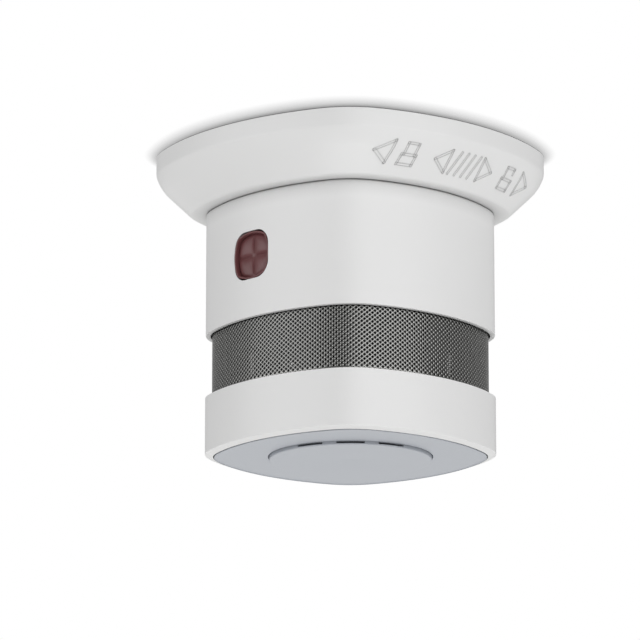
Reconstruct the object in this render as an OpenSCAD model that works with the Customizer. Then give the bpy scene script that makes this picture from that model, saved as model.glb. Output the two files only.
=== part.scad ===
// Ceiling smoke detector with a rounded square plan: a mounting base and a detector head that
// twists into it. The back of the base lies on the ceiling at z = 0, all else hangs below it,
// and the flat sides face X and Y. Heights are negative, in millimetres.

/* [Plan shape] */
// Centre-to-side distance of every outline, over its centre-to-corner distance
flat_ratio = 0.913; // [0.905:0.001:0.925]
// Corner radius of every outline, over its centre-to-corner distance
corner_ratio = 0.417; // [0.40:0.001:0.43]

/* [Mounting base] */
// Centre-to-corner distance of the rim
base_corner = 32.8; // [32:0.1:34]
// Height of the upright rim
rim_h = 3.0; // [2.4:0.1:3.4]
// Height of the whole base
base_h = 9.8; // [9.7:0.1:10.1]
// Centre-to-corner distance of the underside, where the cone ends
ledge_corner = 27; // [26.4:0.1:27.2]
// Thickness of the back plate and of the ledge that carries the head
base_wall = 1.6; // [1.4:0.1:1.8]
// Distance between the two ceiling screw slots
slot_spacing = 30; // [26:1:30]
// Length of a screw slot, end to end
slot_length = 8; // [6:0.5:8]
// Width of a screw slot
slot_w = 4.2; // [3.6:0.1:4.6]

/* [Twist lock] */
// Turn of the head between locked and released, in degrees
twist_angle = 24; // [23:1:25]
// Width of a bayonet lug, in degrees
lug_angle = 18; // [16:1:18]
// Outer radius of the round boss that enters the base
boss_r = 20.6; // [20.4:0.1:20.8]

/* [Head] */
// Centre-to-corner distance of the upper housing
body_corner = 24.3; // [24.1:0.1:24.5]
// Wall thickness of the mouldings
wall = 1.6; // [1.4:0.1:1.6]
// Height of the visible upper housing and its shoulder gap
housing_h = 21.1; // [20.7:0.1:21.5]
// Height of the insect mesh band
mesh_h = 10.7; // [10.4:0.1:11]
// Centre-to-corner distance of the mesh band
mesh_corner = 23.2; // [23:0.1:23.3]
// Height of the lower ring down to its bevel
ring_h = 9.6; // [9.4:0.1:9.8]
// Height of the bevel around the lower ring
bevel_h = 0.4; // [0.3:0.1:0.5]
// Width of the window and of its opening
window_w = 8.2; // [7.6:0.1:8.6]
// Sideways place of the window from the middle of its side
window_x = -1.2; // [-1.5:0.1:0]

/* [Test button] */
// Radius of the round button
button_r = 13.6; // [13.2:0.1:13.8]
// How far the button stands out of the panel
button_proud = 0.6; // [0.55:0.05:0.7]
// Sound slots at each of two opposite corners of the button
corner_slots = 3; // [1:2:3]

/* [Battery] */
// Radius of the battery cell
battery_r = 8.5; // [8:0.1:8.6]
// Length of the battery cell with its cap
battery_l = 34.5; // [33:0.1:34.6]

/* [Hidden] */
$fn = 64;

eps = 0.01;                                   // overlap that keeps a cut clean
side_steps = 10;                              // straight steps along one bowed side
corner_steps = 8;                             // straight steps around one corner
foot_lip = 0.8;                               // thickness of the housing's foot, outside the mesh
mesh_seat = 1.0;                              // depth of the recess that holds the mesh's top edge
shoulder_gap = 0.3;                           // gap between the base and the turning head

// The cone's middle section, fuller at its corners than a straight cone
knee_corner = 32.2;
knee_ratio = 0.885;
z_knee = -4.9;

// Levels, from the ceiling down
z_ledge = -base_h;
z_deck = z_ledge - shoulder_gap;
z_housing = z_ledge - housing_h;
z_ring = z_housing - mesh_h;
z_bevel = z_ring - ring_h;
z_panel = z_bevel - bevel_h;
z_button = z_panel - button_proud;

// Twist lock
opening_r = boss_r + 0.3;
boss_wall = 1.2;
boss_top = -5.2;
lug_r = boss_r + 1.6;
lug_h = 1.5;
lug_bottom = z_ledge + base_wall + 0.1;
notch_angle = lug_angle + 2.4;
stop_angle = 3;

// Marks raised on the base's +X side
mark_z = (z_ledge - rim_h) / 2;
mark_raise = 0.4;
mark_back = 20;

// Battery and its tray
battery_z = -15.2;
tray_plate = 1.2;
tray_wall = 0.8;
tray_top = z_deck - wall;
tray_half_l = 18.3;
tray_half_w = battery_r + 0.4;
tray_floor = battery_z - battery_r - 0.1;
tray_screw_x = 6;
tray_screw_y = 15;

// Circuit boards, chamber and long screws
screw_place = 19.6;                           // distance of the corner screws from the axis
board_top = -27.3;
board_t = 1.2;
board_bottom = board_top - board_t;
chamber_r = 16.8;
chamber_floor = board_bottom - 2.4;
optics_z = -34.8;
emitter_azimuth = 160;
photodiode_azimuth = 20;
led_r = 2.5;
deck_t = 1.4;
ring_deck = z_ring - deck_t;
wire_x = -18.9;

// Sound horn, switch and button
horn_bottom = ring_deck - 3.4;
horn_r = 15.6;
horn_screw_r = 17.8;
horn_ear_z = ring_deck - 2;
piezo_seat = horn_bottom + 1.8;
switch_board_t = 1.0;
switch_top = horn_bottom - switch_board_t;
switch_h = 2.6;
stake_x = [-8.3, 9.3];                        // heat-staked pegs that hold the switch board
plunger_r = 1.7;
panel_t = 1.4;
button_face_t = 1.2;
button_inside = z_button + button_face_t;
button_wall = 1.4;
dish_h = 0.35;                                // depth of the finger dish in the button's face
slot_half = 10;                               // half width of a sound slot, in degrees
slot_pitch = 30;                              // turn from one sound slot to the next, in degrees
slot_skin = 0.25;                             // face left below a sound slot
slot_inner_r = button_r - 3.6;
button_flange_top = z_panel + panel_t + 0.9;

// Outline of corner distance a: four bowed sides, each an arc that runs tangent into the corners
function plan(a, flat = flat_ratio) =
    let (e = a * (1 - corner_ratio), m = a * (flat - corner_ratio),
         s = (e * e - m * m) / (2 * m - sqrt(2) * e), t = atan2(e / sqrt(2), e / sqrt(2) + s))
    [for (q = [0:90:270]) each concat(
        [for (i = [0:side_steps - 1]) let (w = q - t + 2 * t * i / side_steps)
            [(a * flat + s) * cos(w) - s * cos(q), (a * flat + s) * sin(w) - s * sin(q)]],
        [for (i = [0:corner_steps - 1]) let (w = q + t + (90 - 2 * t) * i / corner_steps)
            [e * cos(q + 45) + a * corner_ratio * cos(w), e * sin(q + 45) + a * corner_ratio * sin(w)]])];

// Straight slab of the outline between two levels
module slab(a, top, bottom) {
    translate([0, 0, bottom]) linear_extrude(top - bottom) polygon(plan(a));
}

// Slab whose outline shrinks from corner distance a at the top to b at the bottom
module taper(a, b, top, bottom) {
    translate([0, 0, top]) mirror([0, 0, 1]) linear_extrude(top - bottom, scale = b / a) polygon(plan(a));
}

// Upright cylinder between two levels
module post(r, top, bottom) {
    translate([0, 0, bottom]) cylinder(r = r, h = top - bottom);
}

// Part of a ring, from one azimuth to another
module sector(r_in, r_out, top, bottom, from, to) {
    rotate([0, 0, from]) translate([0, 0, bottom]) rotate_extrude(angle = to - from)
        translate([r_in, 0]) square([r_out - r_in, top - bottom]);
}

module at_corners(d) {
    for (w = [45:90:315]) rotate([0, 0, w]) translate([d, 0, 0]) children();
}

module block(from, to) {
    translate(from) cube(to - from);
}

// Pan-head screw that points up, its head's seat at the given level
module screw(seat, tip, r_head, h_head, r_shank) {
    post(r_head, seat, seat - h_head);
    post(r_shank, tip, seat - eps);
    translate([0, 0, tip - eps]) cylinder(r1 = r_shank, r2 = r_shank * 0.35, h = r_shank);
}

// Flared part of the base below its rim, grown outwards by a corner distance
module flare(grow = 0) {
    rings = [for (r = [[base_corner, flat_ratio, -rim_h], [knee_corner, knee_ratio, z_knee],
                       [ledge_corner, flat_ratio, z_ledge]])
             [for (p = plan(r[0] + grow, r[1])) [p.x, p.y, r[2]]]];
    n = len(rings[0]);
    polyhedron(concat(rings[0], rings[1], rings[2]), concat(
        [[for (i = [n - 1:-1:0]) i]], [[for (i = [0:n - 1]) 2 * n + i]],
        [for (k = [0, n], i = [0:n - 1]) let (j = (i + 1) % n) [k + i, k + j, k + n + j]],
        [for (k = [0, n], i = [0:n - 1]) let (j = (i + 1) % n) [k + i, k + n + j, k + n + i]]));
}

// Straight stroke of a raised mark
module stroke(p, q, w = 0.42) {
    d = q - p;
    translate(p) rotate([0, 0, atan2(d.y, d.x)]) translate([-w / 2, -w / 2]) square([norm(d) + w, w]);
}

module arrow_mark(way) {
    stroke([1.7 * way, 0], [-1.1 * way, 1.6]);
    stroke([1.7 * way, 0], [-1.1 * way, -1.6]);
    stroke([-1.1 * way, 1.6], [-1.1 * way, -1.6]);
}

module padlock_mark(open) {
    difference() {
        translate([-1.6, -1.8]) square([3.2, 1.9]);
        translate([-1.1, -1.3]) square([2.2, 0.9]);
    }
    stroke([-1, 0], [-1, 1.5]);
    stroke([-1, 1.5], [1, 1.5]);
    stroke([1, 1.5], [1, open ? 0.8 : 0]);
}

// Arrow and shut padlock, turning sign, open padlock and arrow, as seen from the +X side
module lock_marks() {
    translate([-16.7, 0]) arrow_mark(-1);
    translate([-12.2, 0]) padlock_mark(false);
    translate([-5.4, 0]) arrow_mark(-1);
    for (y = [-2.8:1.5:1.7]) translate([y, 0]) stroke([-0.5, -1.6], [0.5, 1.6]);
    translate([4.3, 0]) arrow_mark(1);
    translate([10.6, 0]) padlock_mark(true);
    translate([15.3, 0]) arrow_mark(1);
}

module mounting_base() {
    color("white") {
        difference() {
            union() {
                slab(base_corner, 0, -rim_h);
                flare();
            }
            slab(base_corner - 1.8, -base_wall, -rim_h);
            taper(base_corner - 1.8, ledge_corner - 0.8, -rim_h, z_ledge + base_wall);
            post(opening_r, z_ledge + base_wall + 1, z_ledge - 1);
            for (w = [45:90:315])
                sector(opening_r - 1, lug_r + 0.4, z_ledge + base_wall + 1, z_ledge - 1,
                       w - notch_angle / 2, w + notch_angle / 2);
            for (x = [-1, 1] * slot_spacing / 2) translate([x, 0, 0]) {
                for (end = [-1, 1] * (slot_length - slot_w) / 2)
                    translate([end, 0, 0]) post(slot_w / 2, 1, -base_wall - 1);
                translate([-(slot_length - slot_w) / 2, -slot_w / 2, -base_wall - 1])
                    cube([slot_length - slot_w, slot_w, base_wall + 2]);
            }
        }
        // Stops that a lug meets when the head is locked and when it is free to drop
        for (w = [45:90:315]) {
            sector(opening_r + 0.1, lug_r + 1, z_ledge + base_wall + lug_h, z_ledge + base_wall - 0.2,
                   w - twist_angle - lug_angle / 2 - 0.5 - stop_angle, w - twist_angle - lug_angle / 2 - 0.5);
            sector(opening_r + 0.1, lug_r + 1, z_ledge + base_wall + lug_h, z_ledge + base_wall - 0.2,
                   w + lug_angle / 2 + 1.4, w + lug_angle / 2 + 1.4 + stop_angle);
        }
        difference() {
            intersection() {
                translate([mark_back, 0, mark_z]) rotate([90, 0, 90]) linear_extrude(base_corner - mark_back)
                    lock_marks();
                flare(mark_raise);
            }
            flare(-mark_raise);
        }
    }
}

module upper_housing() {
    color("whitesmoke") difference() {
        union() {
            difference() {
                slab(body_corner, z_deck, z_housing);
                slab(body_corner - wall, tray_top, z_housing - 1);
                slab(body_corner - foot_lip, z_housing + mesh_seat, z_housing - 1);
            }
            difference() {
                post(boss_r, boss_top, z_deck - wall / 2);
                post(boss_r - boss_wall, boss_top + 1, z_deck);
            }
            for (w = [45:90:315])
                sector(boss_r - 0.4, lug_r, lug_bottom + lug_h, lug_bottom,
                       w - twist_angle - lug_angle / 2, w - twist_angle + lug_angle / 2);
            at_corners(screw_place) post(2.5, tray_top + wall / 2, board_top);
            for (x = [-1, 1] * tray_screw_x, y = [-1, 1] * tray_screw_y)
                translate([x, y, 0]) post(1.8, z_deck + 2.4, tray_top);
        }
        intersection() {
            post(boss_r - boss_wall, z_deck + 1, tray_top - 1);
            block([-30, -tray_half_w, tray_top - 1], [30, tray_half_w, z_deck + 1]);
        }
        at_corners(screw_place) post(1.02, board_top + 6.5, board_top - 1);
        for (x = [-1, 1] * tray_screw_x, y = [-1, 1] * tray_screw_y)
            translate([x, y, 0]) post(0.92, tray_top + 3.6, tray_top - 1);
        translate([window_x, -(body_corner - 5), (z_ledge + z_housing) / 2])
            rotate([90, 0, 0]) linear_extrude(6) window_outline(window_w);
    }
}

module window_outline(w, r = 2.7) {
    square([w, w - 2 * r], center = true);
    square([w - 2 * r, w], center = true);
    for (x = [-1, 1], y = [-1, 1]) translate([x, y] * (w / 2 - r)) circle(r);
}

module window_lens() {
    front = body_corner * flat_ratio - 0.8;
    color("maroon") translate([window_x, 0, (z_ledge + z_housing) / 2]) rotate([90, 0, 0]) {
        difference() {
            translate([0, 0, front - 1.2]) linear_extrude(1.2) window_outline(window_w - 0.1);
            translate([-0.2, -window_w, front - 0.25]) cube([0.4, 2 * window_w, 1]);
            translate([-window_w, -0.2, front - 0.25]) cube([2 * window_w, 0.4, 1]);
        }
        translate([0, 0, front - 2]) linear_extrude(0.8) window_outline(window_w + 1.8);
    }
}

module battery_tray() {
    color("gainsboro") difference() {
        union() {
            slab(body_corner - wall - 0.3, tray_top, tray_top - tray_plate);
            block([-tray_half_l - tray_wall, -tray_half_w - tray_wall, tray_floor - tray_wall],
                  [tray_half_l + tray_wall, tray_half_w + tray_wall, tray_top]);
        }
        block([-tray_half_l, -tray_half_w, tray_floor], [tray_half_l, tray_half_w, tray_top + 1]);
        at_corners(screw_place) post(3.3, tray_top + 1, tray_top - tray_plate - 1);
        for (x = [-1, 1] * tray_screw_x, y = [-1, 1] * tray_screw_y)
            translate([x, y, 0]) post(1.15, tray_top + 1, tray_top - tray_plate - 1);
        for (side = [-1, 1]) translate([side * (tray_half_l - 0.25), 0, 0])
            block([-0.25, -1.3, tray_floor - tray_wall - 1], [0.25, 1.3, tray_floor + 1]);
    }
}

module battery_cell() {
    color("royalblue") translate([0, 0, battery_z]) rotate([0, 90, 0]) {
        translate([0, 0, -battery_l / 2]) cylinder(r = battery_r, h = battery_l - 1);
        translate([0, 0, battery_l / 2 - 1 - eps]) cylinder(r = 3.2, h = 1 + eps);
    }
}

// Leaf contact at the +X end of the cell: a blade, a bend and a back strip with its solder tail
module leaf_contact() {
    blade_x = battery_l / 2 + 0.05;
    back_x = tray_half_l - 0.4;
    block([blade_x, -4, tray_floor + 0.3], [blade_x + 0.3, 4, battery_z + 5]);
    block([blade_x, -4, tray_floor + 0.1], [back_x + 0.3, 4, tray_floor + 0.4]);
    block([back_x, -4, tray_floor + 0.1], [back_x + 0.3, 4, battery_z + 2]);
    block([back_x, -1, board_top], [back_x + 0.3, 1, tray_floor + 0.4]);
}

module battery_contact_positive() {
    color("silver") leaf_contact();
}

module battery_contact_negative() {
    color("silver") mirror([1, 0, 0]) leaf_contact();
}

module main_circuit_board() {
    color("darkgreen") difference() {
        slab(body_corner - wall - 0.4, board_top, board_bottom);
        at_corners(screw_place) post(1.2, board_top + 1, board_bottom - 1);
    }
}

module microcontroller() {
    color("dimgray") {
        block([-9.5, 11, board_top + 0.2], [-3.5, 17, board_top + 1.3]);
        for (x = [-8.75:1:-4]) {
            block([x - 0.2, 10.2, board_top], [x + 0.2, 11.2, board_top + 0.5]);
            block([x - 0.2, 16.8, board_top], [x + 0.2, 17.8, board_top + 0.5]);
        }
    }
}

module capacitors() {
    color("slategray") for (x = [-8, 8]) translate([x, -14.5, 0]) {
        post(3.15, board_top + 6.6, board_top + 1.4);
        post(2.9, board_top + 1.5, board_top + 1);
        post(3.15, board_top + 1.1, board_top);
    }
}

module buzzer_coil() {
    color("sienna") translate([7.5, 14.5, 0]) {
        post(3.6, board_top + 1.2, board_top);
        post(2.6, board_top + 5.8, board_top + 1.1);
        post(3.6, board_top + 7, board_top + 5.7);
    }
}

// Round 5 mm lamp body that points along +X from its flange, with two leads turned up or down to z_end
module lamp(length, z_end) {
    rotate([0, 90, 0]) {
        cylinder(r = led_r + 0.4, h = 1);
        cylinder(r = led_r, h = length - led_r);
        translate([0, 0, length - led_r]) sphere(r = led_r - eps);
    }
    for (y = [-1.27, 1.27]) translate([0, y, 0]) {
        translate([-0.8, 0, 0]) rotate([0, 90, 0]) cylinder(r = 0.25, h = 1);
        translate([-0.8, 0, 0]) sphere(r = 0.25);
        translate([-0.8, 0, min(0, z_end)]) cylinder(r = 0.25, h = abs(z_end));
    }
}

module indicator_led() {
    z = (z_ledge + z_housing) / 2;
    color("mistyrose") translate([window_x, -11.2, z]) rotate([0, 0, -90]) lamp(7.2, board_top - z);
}

module place_optics(azimuth) {
    rotate([0, 0, azimuth]) translate([chamber_r - 2.2, 0, optics_z]) rotate([0, 0, 180]) children();
}

module chamber_base() {
    color("#202020") difference() {
        union() {
            post(chamber_r, board_bottom, chamber_floor);
            for (w = [emitter_azimuth, photodiode_azimuth]) rotate([0, 0, w])
                block([7.6, -3.4, optics_z - 3.4], [chamber_r - 2.4, 3.4, chamber_floor + 1]);
        }
        for (w = [emitter_azimuth, photodiode_azimuth]) {
            place_optics(w) rotate([0, 90, 0]) translate([0, 0, -1]) cylinder(r = led_r + 0.05, h = 12);
            place_optics(w) rotate([0, 90, 0]) translate([0, 0, -1]) cylinder(r = led_r + 0.5, h = 2.1);
            rotate([0, 0, w]) block([chamber_r - 1.8, -2, chamber_floor - 1],
                                    [chamber_r - 0.9, 2, board_bottom + 1]);
        }
    }
}

module ir_emitter() {
    color("lightsteelblue") place_optics(emitter_azimuth) lamp(7, board_bottom - optics_z);
}

module photodiode() {
    color("#303040") place_optics(photodiode_azimuth) lamp(7, board_bottom - optics_z);
}

// Sheet-metal hood over the photodiode's block, open towards the middle and the rear
module photodiode_shield() {
    color("silver") rotate([0, 0, photodiode_azimuth]) difference() {
        block([8.2, -3.9, optics_z - 3.9], [chamber_r - 2.6, 3.9, chamber_floor]);
        block([8, -3.5, optics_z - 3.5], [chamber_r - 2, 3.5, chamber_floor + 1]);
    }
}

module chamber_cover() {
    bottom = z_ring + 0.7;
    color("#181818") {
        post(chamber_r, bottom + 1.2, bottom);
        for (i = [0:31]) let (w = i * 11.25,
            near = min([for (q = [emitter_azimuth, photodiode_azimuth]) abs((w - q + 540) % 360 - 180)]))
            if (near > 22) rotate([0, 0, w]) translate([14.6, 0, 0]) rotate([0, 0, 48])
                block([-2, -0.4, bottom + 1.1], [2, 0.4, chamber_floor - 0.1]);
    }
}

module insect_mesh() {
    color("dimgray") difference() {
        slab(mesh_corner, z_housing + mesh_seat, z_ring);
        slab(mesh_corner - 0.4, z_housing + mesh_seat + 1, z_ring - 1);
    }
}

module vent_cage() {
    color("#303030") difference() {
        union() {
            slab(body_corner - wall - 0.3, board_bottom, z_housing);
            slab(mesh_corner - 0.5, z_ring + 1.4, z_ring);
            at_corners(screw_place) post(2.4, board_bottom, z_ring);
        }
        post(chamber_r + 0.3, board_bottom + 1, z_ring - 1);
        at_corners(screw_place) post(1.15, board_bottom + 1, z_ring - 1);
        block([wire_x - 1, -3.2, z_ring - 1], [wire_x + 1, 3.2, board_bottom + 1]);
    }
}

module lower_ring() {
    inner = mesh_corner - 0.25;
    color("whitesmoke") difference() {
        union() {
            difference() {
                union() {
                    slab(body_corner + 0.05, z_ring, z_bevel);
                    taper(body_corner + 0.05, inner, z_bevel, z_panel);
                }
                slab(inner, ring_deck, z_panel - 1);
            }
            difference() {
                slab(inner + 0.2, z_panel + panel_t + 1.2, z_panel + panel_t);
                slab(inner - 1.5, z_panel + panel_t + 2, z_panel + panel_t - 1);
            }
            for (w = [0, 90, 270]) rotate([0, 0, w]) translate([horn_screw_r, 0, 0])
                post(1.9, ring_deck + 0.2, horn_ear_z);
        }
        for (w = [0, 90, 270]) rotate([0, 0, w]) translate([horn_screw_r, 0, 0])
            post(0.82, ring_deck + 0.4, horn_ear_z - 1);
        at_corners(screw_place) post(1.15, z_ring + 1, ring_deck - 1);
        block([wire_x - 1, -3.2, ring_deck - 1], [wire_x + 1, 3.2, z_ring + 1]);
    }
}

module face_panel() {
    color("lightsteelblue") difference() {
        union() {
            slab(mesh_corner - 0.4, z_panel + panel_t, z_panel);
            post(button_r + 2.8, z_panel + panel_t + 3, z_panel + panel_t / 2);
        }
        post(button_r + 0.3, z_panel + panel_t + 1, z_panel - 1);
        post(button_r + 1.6, z_panel + panel_t + 4, z_panel + panel_t);
    }
}

module sound_horn() {
    color("#e8e8e0") difference() {
        union() {
            post(horn_r, ring_deck, horn_bottom);
            for (w = [0, 90, 270]) rotate([0, 0, w]) {
                translate([horn_screw_r, 0, 0]) post(1.9, horn_ear_z, horn_ear_z - 1.2);
                block([horn_r - 1, -1.9, horn_ear_z - 1.2], [horn_screw_r, 1.9, horn_ear_z]);
            }
            for (x = stake_x) translate([x, 0, 0]) post(0.9, horn_bottom + 0.5, switch_top - 0.4);
        }
        post(13.8, ring_deck + 1, piezo_seat);
        post(12.2, ring_deck + 2, horn_bottom + 1);
        for (i = [0:5]) rotate([0, 0, 60 * i + 30]) translate([9.6, 0, 0])
            post(1.8, horn_bottom + 2, horn_bottom - 1);
        for (x = [-11.3, 5]) translate([x, 0, 0]) post(0.8, horn_bottom + 2, horn_bottom - 1);
        for (w = [0, 90, 270]) rotate([0, 0, w]) translate([horn_screw_r, 0, 0])
            post(1.0, horn_ear_z + 1, horn_ear_z - 2);
    }
}

module piezo_element() {
    color("gold") {
        post(13.5, piezo_seat + 0.3, piezo_seat);
        post(10, piezo_seat + 0.1, piezo_seat - 0.25);
    }
}

module piezo_pins() {
    color("goldenrod") {
        translate([-11.3, 0, 0]) post(0.5, piezo_seat, horn_bottom);
        translate([5, 0, 0]) post(0.5, piezo_seat - 0.25, horn_bottom);
    }
}

module switch_board() {
    color("green") difference() {
        block([-13, -6, switch_top], [13, 6, horn_bottom]);
        for (x = stake_x) translate([x, 0, 0]) post(1.0, horn_bottom + 1, switch_top - 1);
    }
}

module switch_housing() {
    color("dimgray") difference() {
        block([-3, -3, switch_top - switch_h], [3, 3, switch_top]);
        post(plunger_r + 0.06, switch_top - switch_h + 1.8, switch_top - switch_h - 1);
    }
}

module switch_plunger() {
    color("ivory") post(plunger_r, switch_top - switch_h + 1.1, button_inside + 0.05);
}

// Coil spring between the switch board and the button, swept along its helix
module button_spring() {
    wire = 0.25;
    coil = 4.9;
    turns = 3.5;
    steps = 56;
    sides = 8;
    top = switch_top - wire;
    bottom = button_inside + wire;
    points = [for (i = [0:steps]) let (w = 360 * turns * i / steps, z = top + (bottom - top) * i / steps)
        for (j = [0:sides - 1]) let (v = 360 * j / sides)
            [(coil + wire * cos(v)) * cos(w), (coil + wire * cos(v)) * sin(w), z + wire * sin(v)]];
    skin = [for (i = [0:steps - 1], j = [0:sides - 1]) let (n = (j + 1) % sides)
        [i * sides + j, i * sides + n, (i + 1) * sides + n, (i + 1) * sides + j]];
    first = [for (j = [0:sides - 1]) sides - 1 - j];
    last = [for (j = [0:sides - 1]) steps * sides + j];
    color("silver") polyhedron(points, concat(skin, [first, last]));
}

// Cap with a dished face; each sound slot runs in under the face and then up into the cap
module test_button() {
    color("lightsteelblue") difference() {
        union() {
            post(button_r, z_panel + panel_t + 0.2, z_button);
            post(button_r + 1.2, button_flange_top, z_panel + panel_t + 0.1);
        }
        post(button_r - button_wall, button_flange_top + 1, button_inside);
        translate([0, 0, z_button - eps]) cylinder(r1 = slot_inner_r - 0.2, r2 = 0.1, h = dish_h);
        for (corner = [135, 315], i = [0:corner_slots - 1])
            let (w = corner + slot_pitch * (i - (corner_slots - 1) / 2)) {
                sector(slot_inner_r, button_r + 1, z_panel - 0.02, z_button + slot_skin,
                       w - slot_half, w + slot_half);
                sector(slot_inner_r, button_r - button_wall - 0.1, button_inside + 1, z_button + slot_skin,
                       w - slot_half, w + slot_half);
            }
    }
}

module link_wires() {
    run_z = horn_bottom - 0.35;
    color("firebrick") for (y = [-2.25:1.5:2.25]) translate([wire_x, y, 0]) {
        post(0.35, board_bottom, run_z);
        translate([0, 0, run_z]) sphere(r = 0.35);
        translate([0, 0, run_z]) rotate([0, 90, 0]) cylinder(r = 0.35, h = -13 - wire_x);
    }
}

module cage_screws() {
    color("silver") at_corners(screw_place) screw(ring_deck, board_top + 5, 1.9, 1.3, 1.0);
}

module tray_screws() {
    color("silver") for (x = [-1, 1] * tray_screw_x, y = [-1, 1] * tray_screw_y)
        translate([x, y, 0]) screw(tray_top - tray_plate, tray_top + 2.5, 1.7, 1.1, 0.9);
}

module horn_screws() {
    color("silver") for (w = [0, 90, 270]) rotate([0, 0, w]) translate([horn_screw_r, 0, 0])
        screw(horn_ear_z - 1.2, horn_ear_z + 1.4, 1.5, 0.9, 0.8);
}

mounting_base();
upper_housing();
battery_tray();
battery_cell();
battery_contact_positive();
battery_contact_negative();
main_circuit_board();
microcontroller();
capacitors();
buzzer_coil();
indicator_led();
window_lens();
chamber_base();
chamber_cover();
ir_emitter();
photodiode();
photodiode_shield();
insect_mesh();
vent_cage();
lower_ring();
face_panel();
sound_horn();
piezo_element();
piezo_pins();
switch_board();
switch_housing();
switch_plunger();
button_spring();
test_button();
link_wires();
cage_screws();
tray_screws();
horn_screws();
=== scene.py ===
import math

import bmesh
import bpy
from mathutils import Matrix, Vector
from mathutils.bvhtree import BVHTree


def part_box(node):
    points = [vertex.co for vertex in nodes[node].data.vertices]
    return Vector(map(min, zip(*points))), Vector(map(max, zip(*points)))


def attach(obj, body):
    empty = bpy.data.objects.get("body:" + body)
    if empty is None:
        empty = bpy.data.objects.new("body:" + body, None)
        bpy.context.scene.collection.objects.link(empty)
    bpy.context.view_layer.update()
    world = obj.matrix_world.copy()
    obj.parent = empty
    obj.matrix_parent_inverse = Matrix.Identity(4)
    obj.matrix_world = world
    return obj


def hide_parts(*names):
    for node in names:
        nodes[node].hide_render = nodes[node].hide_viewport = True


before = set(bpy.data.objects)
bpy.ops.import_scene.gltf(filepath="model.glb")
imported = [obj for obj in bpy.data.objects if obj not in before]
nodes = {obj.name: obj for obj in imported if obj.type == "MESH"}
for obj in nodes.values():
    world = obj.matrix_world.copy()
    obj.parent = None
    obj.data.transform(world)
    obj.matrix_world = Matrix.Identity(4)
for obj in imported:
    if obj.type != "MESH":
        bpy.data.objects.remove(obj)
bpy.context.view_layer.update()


# ---- Camera and studio -------------------------------------------------------------------
# A long lens looks up at one corner of the detector from a little below the ceiling line. An even
# pale surround gives most of the light. Two wide, low strips are there to be mirrored in the metal
# mesh, and four weak soft boxes light the sides, the underside and the panel.

MM = 0.001
AXIS_AIM = -27.97 * MM          # height of the aimed point on the detector's axis
CAMERA_AZIMUTH = math.radians(45)
CAMERA_RISE = math.radians(-13.3)
CAMERA_DISTANCE = 809.1 * MM
CAMERA_ASIDE = 5.1 * MM         # shift of the aim that puts the detector right of the middle
LENS = 270.6
SENSOR = 36
LIGHT_DISTANCE = 700 * MM
SURROUND_STRENGTH = 0.40


def hex_colour(code, alpha=1.0):
    """sRGB hex code as linear red, green, blue and alpha."""
    channels = [int(code[i:i + 2], 16) / 255 for i in (1, 3, 5)]
    return [c / 12.92 if c <= 0.04045 else ((c + 0.055) / 1.055) ** 2.4 for c in channels] + [alpha]


def add(tree, kind, inputs=None, **settings):
    """Adds a node, sets its settings, and links or sets its inputs."""
    node = tree.nodes.new(kind)
    for name, value in settings.items():
        setattr(node, name, value)
    for name, value in (inputs or {}).items():
        if isinstance(value, bpy.types.NodeSocket):
            tree.links.new(value, node.inputs[name])
        else:
            node.inputs[name].default_value = value
    return node


to_camera = Vector((math.sin(CAMERA_AZIMUTH) * math.cos(CAMERA_RISE),
                    -math.cos(CAMERA_AZIMUTH) * math.cos(CAMERA_RISE), math.sin(CAMERA_RISE)))
to_right = Vector((math.cos(CAMERA_AZIMUTH), math.sin(CAMERA_AZIMUTH), 0))
to_front = to_right.cross(Vector((0, 0, 1)))
aim = Vector((0, 0, AXIS_AIM))

camera = bpy.data.objects.new("camera", bpy.data.cameras.new("camera"))
bpy.context.scene.collection.objects.link(camera)
camera.data.lens = LENS
camera.data.sensor_width = SENSOR
camera.data.clip_start = 0.01
camera.data.clip_end = 20
camera.location = aim + to_camera * CAMERA_DISTANCE
sight = aim - to_right * CAMERA_ASIDE - camera.location
camera.rotation_euler = sight.to_track_quat("-Z", "Y").to_euler()
bpy.context.scene.camera = camera
bpy.context.scene.view_settings.view_transform = "Standard"


def soft_box(name, aside, rise, width, height, power):
    """Area light: degrees to the camera's right and up, millimetres wide and high, and watts."""
    light = bpy.data.lights.new(name, "AREA")
    light.shape = "RECTANGLE"
    light.size = width * MM
    light.size_y = height * MM
    light.energy = power
    box = bpy.data.objects.new(name, light)
    bpy.context.scene.collection.objects.link(box)
    turn, lift = math.radians(aside), math.radians(rise)
    level = to_right * math.sin(turn) + to_front * math.cos(turn)
    box.location = aim + (level * math.cos(lift) + Vector((0, 0, math.sin(lift)))) * LIGHT_DISTANCE
    box.rotation_euler = (aim - box.location).to_track_quat("-Z", "Y").to_euler()


soft_box("key_strip", 37, 8, 1050, 280, 2.6)
soft_box("fill_strip", -72, 8, 620, 280, 1.35)
soft_box("key_light", 48, -25, 760, 760, 0.5)
soft_box("fill_light", -70, -25, 560, 560, 0.3)
soft_box("low_light", 0, -88, 700, 700, 2.6)
soft_box("back_light", 180, -28, 1050, 560, 0.9)

world = bpy.data.worlds.new("pale_surround")
world.use_nodes = True
world.node_tree.nodes["Background"].inputs["Color"].default_value = hex_colour("#FFFFFF")
world.node_tree.nodes["Background"].inputs["Strength"].default_value = SURROUND_STRENGTH
bpy.context.scene.world = world


def stage_plane(name, size, z, facing):
    """Square plane of the set, facing up (1) or down (-1)."""
    bm = bmesh.new()
    bmesh.ops.create_grid(bm, x_segments=1, y_segments=1, size=size)
    if facing < 0:
        bmesh.ops.reverse_faces(bm, faces=bm.faces)
    bmesh.ops.translate(bm, vec=(0, 0, z), verts=bm.verts)
    mesh = bpy.data.meshes.new(name)
    bm.to_mesh(mesh)
    bm.free()
    plane = bpy.data.objects.new(name, mesh)
    bpy.context.scene.collection.objects.link(plane)
    return plane


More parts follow.
